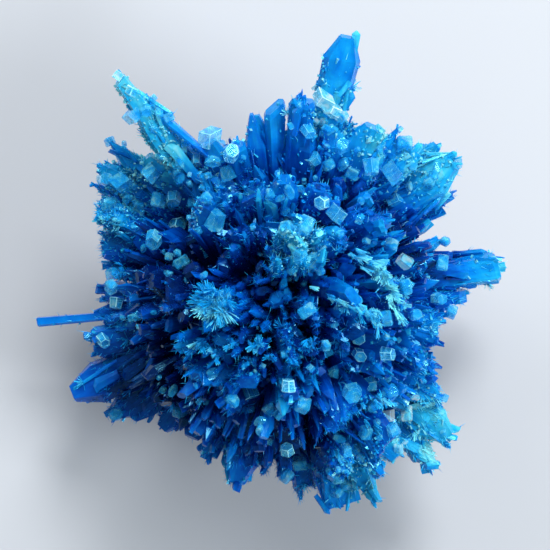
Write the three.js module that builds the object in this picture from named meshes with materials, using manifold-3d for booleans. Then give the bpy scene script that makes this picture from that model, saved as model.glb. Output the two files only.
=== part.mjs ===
// A pentagonite specimen: a nearly round cluster of blue blades and prisms that radiate from one
// heart, with small clear crystals seated on them. Millimetres, +Z up.
// It lies on the flat cut at its underside, in the plane z = 0, and its showy side is up.
import Module from 'manifold-3d';
import * as THREE from 'three';
import { mergeVertices } from 'three/addons/utils/BufferGeometryUtils.js';

const wasm = await Module();
wasm.setup();

// Driving dimensions
const HEART = new THREE.Vector3(0.5, -1.03, 4.6);
const HEART_RADIUS = 4.6;
const ROOT_START = 1.8;
const ROOT_SHARE = 0.62;
const SECTION_FLAT = 0.72;
const CUT_SIZE = 60;

// Blades that fill the ball between the ones placed by hand
const FILL_COUNT = 150;
const FILL_REACH = { least: 5.5, most: 6.7 };
const FILL_WIDTH = { least: 1.0, most: 1.7 };
const FILL_THICKNESS = { least: 0.7, most: 1.1 };
const FILL_TWIST = 180;
const FILL_SWAY = { bearing: 6, rise: 3 };
const FILL_CLEARANCE = 8.5;
const FILL_ENDS = ['slash', 'slash', 'taper', 'chisel'];

// Shorter blades that grow beside each large one, as shares of the large one
const COMPANION_REACH = { least: 0.74, most: 0.93 };
const COMPANION_WIDTH = { least: 0.4, most: 0.62 };
const COMPANION_THICKNESS = { least: 0.7, most: 1.05 };
const COMPANION_OFFSET = 0.42;
const COMPANION_SPLAY = 5;
const COMPANION_TWIST = 12;
const COMPANION_LEAST_WIDTH = 1.1;
const COMPANION_LONGEST = 9;
const COMPANION_ENDS = ['spear', 'chisel', 'slash'];

// Clear crystals, in shares of their size: a six-sided tablet and a skewed block, how far the middle
// stands above the blade, and how far the crystal tilts
const TABLET = { top: 0.4, foot: 0.5, height: 0.66, squash: 0.86 };
const TABLET_CHANCE = 0.7;
const BLOCK_SIDES = [0.8, 0.72, 0.66];
const BLOCK_SKEW = 0.25;
const CLEAR_LIFT = 0.14;
const CLEAR_TILT = 52;
const SEAT_GAP = 0.02;

// Where the clear crystals' places are seen from
const EYE = new THREE.Vector3(0.26, 0.02, 156);
const EYE_LEVEL = 6;

// A six-sided round section has a corner past this X only at the lath's two edges
const EDGE_CORNER = 0.75;
const SMALLEST_EDGE = 0.004;
const SEED = 2207;

// Shape of each kind of end, from the tip down: [widths below the tip, width share, thickness share].
// The lean is how far the tip's far corner drops, in widths.
const ENDS = {
  spear: { lean: 0, stations: [[0, 0.16, 0.3], [1.4, 1, 1]] },
  arch: { lean: 0, stations: [[0, 0.42, 0.6], [0.62, 1, 1]] },
  slash: { lean: 0.9, stations: [[0, 0.9, 0.8]] },
  taper: { lean: 0.5, stations: [[0, 0.34, 0.34]] },
  blunt: { lean: 0.12, stations: [[0, 0.82, 0.75], [0.16, 1, 1]] },
  chisel: { lean: 0, stations: [[0, 0.95, 0.18], [0.6, 1, 1]] },
  slant: { lean: 0.7, stations: [[0, 0.84, 0.7], [0.2, 1, 1]] },
  prism: { lean: 0.3, stations: [[0, 0.42, 0.42], [1.1, 0.58, 0.58], [2.0, 0.92, 0.92]] },
};

// Blades that make the outline, counterclockwise as seen from above:
// name, bearing, rise and reach of the tip from the heart, width, thickness, twist, end
const OUTLINE_BLADES = [
  ['right stub', 0, -2, 6.8, 1.0, 0.7, 15, 'arch'],
  ['right prism', 9, -4, 9.0, 1.3, 0.9, 5, 'blunt'],
  ['right inner stub', 18, 13, 6.2, 1.2, 0.8, -20, 'chisel'],
  ['right thin lath', 32, -3, 8.2, 0.6, 0.35, 10, 'spear'],
  ['upper right broad blade', 39, 9, 9.0, 1.8, 0.8, -10, 'arch'],
  ['upper right tip', 45, 5, 8.9, 1.0, 0.6, 20, 'arch'],
  ['upper right pale blade', 50, 14, 8.3, 1.4, 0.8, -15, 'chisel'],
  ['upper right finger', 56, 15, 8.6, 0.6, 0.5, -10, 'spear'],
  ['upper right blade', 62, 25, 8.6, 2.0, 0.8, 10, 'arch'],
  ['top blade', 76, 24, 11.7, 1.5, 0.6, 10, 'arch'],
  ['pale topped blade', 84, 30, 9.2, 1.1, 0.8, -15, 'blunt'],
  ['slanted top blade', 92, 28, 9.0, 0.9, 0.7, 20, 'slant'],
  ['spear top blade', 99, 27, 8.4, 1.0, 0.7, -10, 'spear'],
  ['upper left stub', 107, 32, 7.6, 1.0, 0.8, 15, 'blunt'],
  ['stub under clear fan', 114, 28, 7.8, 1.1, 0.9, -20, 'arch'],
  ['stub beside long prism', 120, 23, 7.6, 1.0, 0.8, 15, 'arch'],
  ['long prism', 126, 22, 11.8, 1.3, 1.1, 0, 'prism'],
  ['left upper stub', 133, 17, 8.2, 1.1, 0.8, -10, 'arch'],
  ['left upper spike', 137, 12, 9.5, 0.8, 0.6, 15, 'spear'],
  ['left upper blade', 143, 10, 9.1, 1.0, 0.7, -20, 'arch'],
  ['left thin spike', 148, 1, 8.9, 0.5, 0.4, 0, 'spear'],
  ['left rough blade', 153, 10, 8.3, 1.2, 0.8, 25, 'chisel'],
  ['left blade', 161, 6, 7.6, 1.1, 0.8, -15, 'blunt'],
  ['left low blade', 168, 3, 7.0, 1.0, 0.7, 10, 'arch'],
  ['left pale block', 177, -5, 7.2, 0.9, 0.8, 0, 'blunt'],
  ['left needle', 185, -5, 10.0, 0.4, 0.3, 10, 'blunt'],
  ['left lower stub', 193, -3, 7.8, 1.4, 0.7, -10, 'blunt'],
  ['low left blade', 204, -6, 9.3, 1.8, 0.8, 15, 'arch'],
  ['low left second blade', 214, -11, 8.4, 1.4, 0.7, -10, 'arch'],
  ['low left third blade', 227, -14, 7.3, 1.4, 0.7, 10, 'arch'],
  ['low rough stub', 234, -5, 6.5, 0.9, 0.6, -15, 'chisel'],
  ['low chunk', 244, 3, 6.8, 1.1, 0.8, 10, 'arch'],
  ['low stout prism', 256, 6, 7.6, 1.4, 0.9, 0, 'arch'],
  ['low stub', 262, 0, 5.7, 1.0, 0.7, 15, 'chisel'],
  ['low spike', 271, 8, 7.2, 0.7, 0.5, -10, 'spear'],
  ['low dark blade', 280, -1, 7.9, 1.7, 0.8, 10, 'slant'],
  ['low pale blade', 287, 3, 8.6, 1.6, 0.8, -10, 'chisel'],
  ['low right spear', 295, 8, 9.0, 1.2, 0.7, 15, 'spear'],
  ['low right pale tip', 300, 18, 8.4, 0.6, 0.5, -15, 'arch'],
  ['right low tip', 306, 9, 7.9, 1.0, 0.7, 10, 'arch'],
  ['right low pale tip', 313, -3, 9.0, 1.0, 0.6, -10, 'arch'],
  ['right low broad blade', 321, 0, 8.7, 1.7, 0.8, 10, 'arch'],
  ['right lower blade', 328, 5, 7.4, 1.4, 0.8, -15, 'arch'],
  ['right blade', 339, 13, 6.9, 1.4, 0.8, 10, 'slant'],
  ['right upper stub', 350, 16, 6.6, 1.3, 0.8, -10, 'chisel'],
];

// Blades of the upper face, in the same columns
const FACE_BLADES = [
  ['centre blade a', 89, 70, 8.2, 0.7, 0.4, 30, 'spear'],
  ['centre blade b', 75, 67, 8.3, 0.8, 0.4, -20, 'chisel'],
  ['centre blade c', 61, 68, 8.1, 0.8, 0.4, 60, 'arch'],
  ['centre blade d', 48, 72, 7.9, 0.7, 0.4, -60, 'chisel'],
  ['centre blade e', 66, 77, 8.1, 0.9, 0.4, 10, 'arch'],
  ['centre blade f', 95, 78, 8.0, 0.7, 0.4, 80, 'spear'],
  ['centre blade g', 75, 73, 8.6, 1.0, 0.5, -35, 'chisel'],
  ['pale round blade', 51, 64, 7.9, 1.2, 0.7, 10, 'arch'],
  ['broad azure blade', 5, 68, 7.4, 2.0, 0.7, 35, 'arch'],
  ['top front blade', 89, 53, 7.9, 1.4, 0.8, 5, 'arch'],
  ['top front left blade', 105, 52, 7.6, 1.3, 0.8, -15, 'slant'],
  ['top front right blade', 72, 52, 7.6, 1.3, 0.8, 15, 'arch'],
  ['upper left front blade', 134, 45, 7.3, 1.5, 0.8, -10, 'slant'],
  ['upper right front blade', 43, 46, 7.5, 1.6, 0.8, 15, 'slant'],
  ['stem prism', 276, 57, 6.8, 0.7, 0.6, 0, 'blunt'],
  ['pale ended stub', 247, 59, 6.7, 0.9, 0.6, 20, 'blunt'],
  ['lower azure blade', 299, 39, 7.3, 1.8, 0.8, -20, 'slant'],
  ['lower right pale blade', 306, 24, 7.7, 1.4, 0.7, 15, 'chisel'],
  ['left front blade', 171, 39, 6.7, 1.6, 0.8, 15, 'arch'],
  ['dark lower blade', 221, 42, 6.3, 1.6, 0.8, -10, 'slant'],
  ['lower fan blade', 290, 20, 7.7, 1.4, 0.6, -15, 'arch'],
  ['right front blade', 3, 45, 6.8, 1.4, 0.8, -15, 'chisel'],
];

// Stout roots at the underside, long enough for the flat cut to go through them, in the same columns
const ROOT_BLADES = [
  ['middle root', 45, -88, 7.5, 4.4, 4.0, 0, 'blunt'],
  ['left root', 170, -58, 7.5, 2.2, 1.6, 10, 'blunt'],
  ['right root', 20, -56, 7.5, 2.2, 1.6, -10, 'blunt'],
  ['low root', 285, -58, 7.5, 2.0, 1.6, 5, 'blunt'],
  ['top root', 95, -55, 7.5, 2.2, 1.6, -5, 'blunt'],
];

// Clear crystals as seen from above: x, y at the eye's level, and size
const CLEAR_PLACES = [
  // On the long prism
  [-5.9, 7.9, 0.5], [-5.5, 7.4, 0.55], [-5.35, 6.45, 0.65], [-4.9, 6.6, 0.55], [-3.7, 5.6, 0.5],
  // Upper left
  [-2.3, 5.4, 0.85], [-2.9, 4.6, 0.6], [-1.5, 4.9, 0.8], [-1.5, 4.2, 0.7], [-4.7, 4.1, 0.7],
  [-5.9, 3.8, 0.8], [-6.5, 3.9, 0.7], [-3.8, 3.1, 0.7], [-3.6, 2.1, 0.8], [-2.2, 2.3, 0.8],
  [-4.6, 1.5, 0.8], [-2.5, 1.1, 0.7],
  // On the top blade and below it
  [2.2, 7.1, 0.8], [2.5, 6.7, 0.8], [2.9, 6.4, 0.6], [2.9, 5.2, 0.7], [1.5, 5.8, 0.65],
  [1.7, 4.7, 0.65], [2.1, 3.0, 0.7], [2.7, 2.5, 0.8],
  // Right
  [4.1, 4.4, 0.85], [5.0, 4.1, 0.9], [5.1, 3.0, 0.6], [5.5, 0.5, 0.75], [6.8, -0.9, 0.65],
  // Lower right
  [3.7, -2.5, 0.7], [3.7, -3.2, 0.65], [4.7, -3.1, 0.7], [2.5, -3.9, 0.85], [4.1, -4.3, 0.7],
  [3.3, -4.8, 0.9], [4.8, -5.6, 0.7], [5.0, -6.2, 0.65],
  // Low and left
  [0.8, -4.5, 0.7], [0.8, -6.9, 0.65], [-0.8, -4.7, 0.7], [3.1, -7.0, 0.5], [-6.6, -2.6, 0.65],
  [-6.1, -1.0, 0.65],
];

const BLUE = new THREE.MeshStandardMaterial({ color: '#0f5fbe', roughness: 0.25, metalness: 0 });
const CLEAR = new THREE.MeshStandardMaterial({ color: '#bfe4f2', roughness: 0.1, metalness: 0 });

// A repeatable stream of numbers from 0 to 1
function numberStream(seed) {
  let state = seed;
  return () => {
    state = (Math.imul(state, 1664525) + 1013904223) >>> 0;
    return state / 2 ** 32;
  };
}

const nextNumber = numberStream(SEED);

function between(least, most) {
  return least + (most - least) * nextNumber();
}

function pick(list) {
  return list[Math.floor(nextNumber() * list.length)];
}

// The unit direction of a bearing, counterclockwise from +X, and a rise above the horizon
function direction(bearing, rise) {
  const polar = THREE.MathUtils.degToRad(90 - rise);
  const azimuth = THREE.MathUtils.degToRad(bearing);
  return new THREE.Vector3(
    Math.sin(polar) * Math.cos(azimuth),
    Math.sin(polar) * Math.sin(azimuth),
    Math.cos(polar),
  );
}

// The frame of a blade: X across its width, Y along it, Z through its thickness
function bladeFrame(along, twist) {
  const level = new THREE.Vector3(-along.y, along.x, 0);
  const across = level.normalize().applyAxisAngle(along, THREE.MathUtils.degToRad(twist));
  const through = new THREE.Vector3().crossVectors(across, along);
  return new THREE.Matrix4().makeBasis(across, along, through).setPosition(HEART);
}

// A closed solid from a three.js geometry
function solidOf(geometry) {
  const bare = geometry.clone();
  bare.deleteAttribute('normal');
  bare.deleteAttribute('uv');
  const merged = mergeVertices(bare);
  return new wasm.Manifold(new wasm.Mesh({
    numProp: 3,
    vertProperties: new Float32Array(merged.attributes.position.array),
    triVerts: new Uint32Array(merged.index.array),
  }));
}

// The three.js geometry of a solid
function geometryOf(solid) {
  const mesh = solid.getMesh();
  const geometry = new THREE.BufferGeometry();
  geometry.setAttribute('position', new THREE.BufferAttribute(new Float32Array(mesh.vertProperties), 3));
  geometry.setIndex(new THREE.BufferAttribute(new Uint32Array(mesh.triVerts), 1));
  geometry.computeVertexNormals();
  return geometry;
}

// The largest body of a solid, with any sealed hollow filled
function mainBody(solid) {
  const bodies = solid.decompose();
  return bodies.reduce((best, body) => (body.volume() > best.volume() ? body : best)).asOriginal();
}

// Where a corner of a round section goes on a lath's section, in half widths and half thicknesses
function lathCorner(x, z, sides) {
  if (sides === 4) {
    return [Math.sign(x), Math.sign(z)];
  }
  return Math.abs(x) > EDGE_CORNER ? [Math.sign(x), 0] : [Math.sign(x) * SECTION_FLAT, Math.sign(z)];
}

// One blade: a six-sided lath from near the heart to its tip, closed by one of the kinds of end
function bladeSolid({ along, reach, width, thickness, twist, end, sides = 6, sideways = 0 }) {
  const { lean, stations } = ENDS[end];
  const firstCorner = sides === 4 ? Math.PI / 4 : Math.PI / 2;
  const geometry = new THREE.CylinderGeometry(1, 1, 1, sides, stations.length, false, firstCorner);
  const position = geometry.attributes.position;
  for (let i = 0; i < position.count; i += 1) {
    const ring = Math.round((0.5 - position.getY(i)) * stations.length);
    const atRoot = ring === stations.length;
    const [below, widthShare, thicknessShare] = atRoot ? [0, ROOT_SHARE, ROOT_SHARE] : stations[ring];
    const [across, through] = lathCorner(position.getX(i), position.getZ(i), sides);
    const x = across * 0.5 * width * widthShare;
    const z = through * 0.5 * thickness * thicknessShare;
    const drop = atRoot ? 0 : lean * (x + width / 2);
    const y = atRoot ? ROOT_START : reach - below * width - drop;
    position.setXYZ(i, x + sideways * (y / reach), y, z);
  }
  return solidOf(geometry.applyMatrix4(bladeFrame(along, twist)));
}

// A shorter blade on one side of a large one
function companionSolid(blade) {
  const side = nextNumber() < 0.5 ? -1 : 1;
  const splay = THREE.MathUtils.degToRad(COMPANION_SPLAY * side * nextNumber());
  const across = new THREE.Vector3().setFromMatrixColumn(bladeFrame(blade.along, blade.twist), 0);
  return bladeSolid({
    along: blade.along.clone().addScaledVector(across, Math.tan(splay)).normalize(),
    reach: Math.min(blade.reach, COMPANION_LONGEST) * between(COMPANION_REACH.least, COMPANION_REACH.most),
    width: blade.width * between(COMPANION_WIDTH.least, COMPANION_WIDTH.most),
    thickness: blade.thickness * between(COMPANION_THICKNESS.least, COMPANION_THICKNESS.most),
    twist: blade.twist + between(-COMPANION_TWIST, COMPANION_TWIST),
    end: pick(COMPANION_ENDS),
    sides: 4,
    sideways: side * blade.width * COMPANION_OFFSET,
  });
}

// The blades placed by hand
function placedBlades() {
  const rows = [...OUTLINE_BLADES, ...FACE_BLADES, ...ROOT_BLADES];
  return rows.map(([, bearing, rise, reach, width, thickness, twist, end]) => ({
    along: direction(bearing, rise), reach, width, thickness, twist, end,
  }));
}

// Blades spread evenly over the ball, where none placed by hand is near
function fillBlades(placed) {
  const golden = 180 * (3 - Math.sqrt(5));
  const leastAngle = THREE.MathUtils.degToRad(FILL_CLEARANCE);
  const blades = [];
  for (let i = 0; i < FILL_COUNT; i += 1) {
    const rise = THREE.MathUtils.radToDeg(Math.asin(1 - (2 * i + 1) / FILL_COUNT));
    const bearing = i * golden + between(-FILL_SWAY.bearing, FILL_SWAY.bearing);
    const along = direction(bearing, rise + between(-FILL_SWAY.rise, FILL_SWAY.rise));
    const blade = {
      along,
      reach: between(FILL_REACH.least, FILL_REACH.most),
      width: between(FILL_WIDTH.least, FILL_WIDTH.most),
      thickness: between(FILL_THICKNESS.least, FILL_THICKNESS.most),
      twist: between(-FILL_TWIST, FILL_TWIST),
      end: pick(FILL_ENDS),
      sides: 4,
    };
    if (placed.every((other) => other.along.angleTo(along) > leastAngle)) {
      blades.push(blade);
    }
  }
  return blades;
}

// The blue cluster: every blade grown together round the heart, cut off flat at the underside
function clusterSolid() {
  const placed = placedBlades();
  const filling = fillBlades(placed);
  const heart = new THREE.IcosahedronGeometry(HEART_RADIUS, 1).translate(HEART.x, HEART.y, HEART.z);
  const wide = placed.filter(({ width }) => width >= COMPANION_LEAST_WIDTH);
  const grown = wasm.Manifold.union([
    solidOf(heart),
    ...placed.map(bladeSolid),
    ...filling.map(bladeSolid),
    ...wide.map(companionSolid),
  ]);
  const below = new THREE.BoxGeometry(CUT_SIZE, CUT_SIZE, CUT_SIZE).translate(0, 0, -CUT_SIZE / 2);
  return mainBody(grown.subtract(solidOf(below)));
}

// A stubby six-sided tablet or a skewed block
function clearGeometry(size, isTablet) {
  if (!isTablet) {
    const block = new THREE.BoxGeometry(...BLOCK_SIDES.map((share) => share * size));
    return block.applyMatrix4(new THREE.Matrix4().makeShear(BLOCK_SKEW, 0, 0, 0, BLOCK_SKEW / 2, 0));
  }
  const { top, foot, height, squash } = TABLET;
  return new THREE.CylinderGeometry(top * size, foot * size, height * size, 6).scale(1, 1, squash);
}

// Where the sight line through a place first meets the cluster, and which way the blade faces there
function seatOn(target, x, y) {
  const sight = new THREE.Vector3(x, y, EYE_LEVEL).sub(EYE).normalize();
  const [hit] = new THREE.Raycaster(EYE, sight).intersectObject(target);
  return hit && { point: hit.point, normal: hit.face.normal };
}

// The clear crystals that have a seat on the cluster
function clearCrystals(target) {
  const upright = new THREE.Vector3(0, 1, 0);
  const tilt = THREE.MathUtils.degToRad(CLEAR_TILT);
  return CLEAR_PLACES.map(([x, y, size]) => {
    const seat = seatOn(target, x, y);
    const turn = new THREE.Quaternion().setFromEuler(new THREE.Euler(
      between(-tilt, tilt), between(0, 2 * Math.PI), between(-tilt, tilt),
    ));
    const isTablet = nextNumber() < TABLET_CHANCE;
    if (!seat) {
      return null;
    }
    const place = seat.point.clone().addScaledVector(seat.normal, CLEAR_LIFT * size);
    const spin = new THREE.Quaternion().setFromUnitVectors(upright, seat.normal).multiply(turn);
    const frame = new THREE.Matrix4().compose(place, spin, new THREE.Vector3(1, 1, 1));
    const solid = solidOf(clearGeometry(size, isTablet).applyMatrix4(frame));
    return { solid, normal: seat.normal };
  }).filter(Boolean);
}

// The cluster, and the clear crystals trimmed to it and to each other
function assemble() {
  const cluster = mainBody(clusterSolid().simplify(SMALLEST_EDGE));
  const target = new THREE.Mesh(geometryOf(cluster), BLUE);
  const clears = [];
  clearCrystals(target).forEach(({ solid, normal }) => {
    const seated = solid.subtract(cluster).translate(normal.clone().multiplyScalar(SEAT_GAP).toArray());
    clears.push(mainBody(clears.reduce((rest, other) => rest.subtract(other), seated)));
  });
  return { cluster, clears };
}

const pentagonite = new THREE.Group();
const { cluster, clears } = assemble();

const clusterMesh = new THREE.Mesh(geometryOf(cluster), BLUE);
clusterMesh.name = 'pentagonite_cluster';
pentagonite.add(clusterMesh);

clears.forEach((solid, index) => {
  const clearMesh = new THREE.Mesh(geometryOf(solid), CLEAR);
  clearMesh.name = `clear_crystal_${String(index + 1).padStart(2, '0')}`;
  pentagonite.add(clearMesh);
});

export default pentagonite;
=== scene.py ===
"""Dresses a pentagonite specimen: blue blades that burst from one heart, dotted with clear crystals.

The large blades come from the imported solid. Fine blades, needles, a frosting of tiny crystals and the
small clear crystals are modelled once each and then copied many times over the solid's faces.
Everything is in metres, in the part's own frame, with +Z up and the showy side on top.
"""

import logging
import math
from dataclasses import dataclass
from enum import Enum
from typing import Callable

import bmesh
import bpy
import numpy as np
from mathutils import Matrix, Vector
from mathutils.bvhtree import BVHTree


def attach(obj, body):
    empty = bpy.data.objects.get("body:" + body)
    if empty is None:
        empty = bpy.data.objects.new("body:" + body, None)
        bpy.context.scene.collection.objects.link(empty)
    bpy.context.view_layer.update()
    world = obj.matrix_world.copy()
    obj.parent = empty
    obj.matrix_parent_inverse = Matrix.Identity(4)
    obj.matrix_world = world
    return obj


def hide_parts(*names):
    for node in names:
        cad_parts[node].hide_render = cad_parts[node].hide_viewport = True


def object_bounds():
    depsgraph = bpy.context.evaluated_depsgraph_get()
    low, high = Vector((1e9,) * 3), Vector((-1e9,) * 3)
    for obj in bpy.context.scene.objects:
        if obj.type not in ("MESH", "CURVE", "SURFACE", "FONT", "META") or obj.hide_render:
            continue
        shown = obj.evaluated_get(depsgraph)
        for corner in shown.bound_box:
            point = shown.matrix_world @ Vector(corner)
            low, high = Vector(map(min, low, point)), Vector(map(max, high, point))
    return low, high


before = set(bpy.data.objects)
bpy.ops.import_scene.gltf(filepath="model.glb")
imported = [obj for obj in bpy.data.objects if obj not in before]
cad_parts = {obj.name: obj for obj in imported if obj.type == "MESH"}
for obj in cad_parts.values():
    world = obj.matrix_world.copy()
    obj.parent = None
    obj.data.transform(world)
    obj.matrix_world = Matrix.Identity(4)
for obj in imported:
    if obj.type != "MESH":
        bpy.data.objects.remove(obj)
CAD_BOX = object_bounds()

log = logging.getLogger("pentagonite")

Array = np.ndarray
Colour = tuple[float, float, float]
Stops = tuple[tuple[float, Colour], ...]
Weight = Callable[[Array, Array], Array]
NeedleRows = tuple[Array, Array, Array, Array]

MM = 0.001
HEART = np.array([0.5, -1.03, 4.6]) * MM
EYE = np.array([0.26, 0.02, 156.0]) * MM
EYE_LEVEL = 6.0 * MM
DOUBLED = 0.001 * MM
CLUSTER = "pentagonite_cluster"
CLEAR_PREFIX = "clear_crystal_"
FLOOR_CLEARANCE = 0.02 * MM
OVERHANG = 0.3 * MM
PERCH_REACH = 6.75 * MM
CUT_DEPTH = 0.05 * MM
CUT_NORMAL = -0.99
SMOOTH_DEPTH = 2.0 * MM
SPOT_REACH = 5.6 * MM
CHANCE = np.random.default_rng(2207)
PATCH_FALL = 0.7
LEVEL = 0.9
TINY = 1e-12
WEAK = 0.15
SPARE_AXIS = np.array([0.31, 0.87, 0.39])

NEEDLE_STOPS: Stops = (
    (0.0, (0.0004, 0.03, 0.26)),
    (0.3, (0.001, 0.2, 0.68)),
    (0.6, (0.008, 0.5, 0.94)),
    (1.0, (0.26, 0.96, 1.0)),
)
# Painted highlights: the pale colours of the clear crystals' bevelled edges, which stand for edges lit by
# refraction.
PAINTED_EDGE_HIGHLIGHT_STOPS: Stops = (
    (0.3, (0.12, 0.74, 1.0)),
    (0.6, (0.48, 0.96, 1.0)),
    (0.85, (0.9, 1.0, 0.98)),
)


class BladeEnd(Enum):
    """How a small blade is closed at its tip: the tip's scale, its shift sideways and its drop."""

    SPEAR = ((0.08, 0.2, 1.0), 0.0, 0.0)
    CHISEL = ((0.9, 0.08, 1.0), 0.0, 0.0)
    BLUNT = ((0.72, 0.62, 1.0), 0.0, 0.6)
    SLANT = ((0.66, 0.6, 1.0), 0.22, 0.0)


class ClearForm(Enum):
    """The habit of a small clear crystal: its number of sides, 0 for a block, and its scale."""

    TABLET = (6, (1.0, 0.82, 1.0))
    BLOCK = (0, (1.0, 0.86, 0.78))
    COFFIN = (6, (1.15, 0.66, 1.1))


@dataclass(frozen=True)
class Noise:
    """A noise pattern and how much it changes a tone."""

    scale: float
    detail: float
    weight: float
    distortion: float = 0.0


@dataclass(frozen=True)
class ToneAndPaintedLightPatch:
    """A soft ball, with its middle and radius in millimetres, that is paler or darker than the rest: its own
    tone in some, painted light and shade in others.
    """

    x: float
    y: float
    z: float
    radius: float
    change: float


def math_node(operation: str, swapped: bool = False) -> Callable[["Signal", "Signal | float"], "Signal"]:
    """Makes an arithmetic method.

    Args:
        operation: the operation of the Math node that the method adds.
        swapped: whether the second value comes first.

    Returns:
        The method, which takes the second value and returns the node's result.
    """

    def combine(signal: "Signal", other: "Signal | float") -> "Signal":
        pair = (other, signal) if swapped else (signal, other)
        return signal.sheet.add("Math", {"operation": operation}, dict(enumerate(pair)))

    return combine


@dataclass(frozen=True)
class Signal:
    """A socket in a material's tree that can be used in arithmetic."""

    sheet: "Sheet"
    socket: bpy.types.NodeSocket

    __add__ = __radd__ = math_node("ADD")
    __sub__ = math_node("SUBTRACT")
    __rsub__ = math_node("SUBTRACT", swapped=True)
    __mul__ = __rmul__ = math_node("MULTIPLY")
    __truediv__ = math_node("DIVIDE")
    __pow__ = math_node("POWER")

    def clamped(self) -> "Signal":
        """Returns the value held between 0 and 1."""
        return self.sheet.add("Clamp", {}, {"Value": self})


class Sheet:
    """The node tree of one material."""

    def __init__(self, name: str) -> None:
        """Starts an empty material."""
        self.material = bpy.data.materials.new(name)
        self.material.use_nodes = True
        self.tree = self.material.node_tree
        self.tree.nodes.clear()

    def add(
        self,
        kind: str,
        settings: dict[str, object],
        inputs: dict[str | int, object],
        output: str | int = 0,
    ) -> Signal:
        """Adds a node.

        Args:
            kind: the node's type, as Blender names it without ShaderNode.
            settings: its options, set first; "stops" holds a colour ramp's places and colours.
            inputs: a value or a Signal for each socket.
            output: which output to return.

        Returns:
            The chosen output.
        """
        node = self.tree.nodes.new(f"ShaderNode{kind}")
        for key, value in settings.items():
            if key == "stops":
                self.set_stops(node, value)
            else:
                setattr(node, key, value)
        for key, value in inputs.items():
            if isinstance(value, Signal):
                self.tree.links.new(value.socket, node.inputs[key])
            else:
                node.inputs[key].default_value = value
        return Signal(self, node.outputs[output])

    @staticmethod
    def set_stops(node: bpy.types.Node, stops: Stops) -> None:
        """Fills a colour ramp with its stops."""
        elements = node.color_ramp.elements
        while len(elements) < len(stops):
            elements.new(1.0)
        for element, (place, colour) in zip(elements, stops):
            element.position = place
            element.color = (*colour, 1.0)

    def noise(self, place: Signal, noise: Noise) -> Signal:
        """Adds a noise pattern, from 0 to 1 with its middle at a half."""
        inputs = {"Scale": noise.scale, "Detail": noise.detail, "Distortion": noise.distortion}
        return self.add("TexNoise", {}, {"Vector": place, **inputs}, "Fac")

    def patched(self, level: Signal, place: Signal, patches: tuple[ToneAndPaintedLightPatch, ...]) -> Signal:
        """Makes a tone paler or darker in soft patches.

        Args:
            level: the tone.
            place: the place on the object.
            patches: the patches, each falling from its change in the middle to 0 at its edge.

        Returns:
            The changed tone.
        """
        for patch in patches:
            middle = (patch.x * MM, patch.y * MM, patch.z * MM)
            gap = self.add("VectorMath", {"operation": "DISTANCE"}, {0: place, 1: middle}, "Value")
            near = (1.0 - gap / (patch.radius * MM)).clamped()
            level = level + near**PATCH_FALL * patch.change
        return level

    def finish(self, inputs: dict[str, object]) -> bpy.types.Material:
        """Adds the principled shader with these inputs and returns the finished material."""
        surface = self.add("BsdfPrincipled", {}, inputs)
        output = self.tree.nodes.new("ShaderNodeOutputMaterial")
        self.tree.links.new(surface.socket, output.inputs["Surface"])
        return self.material


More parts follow.
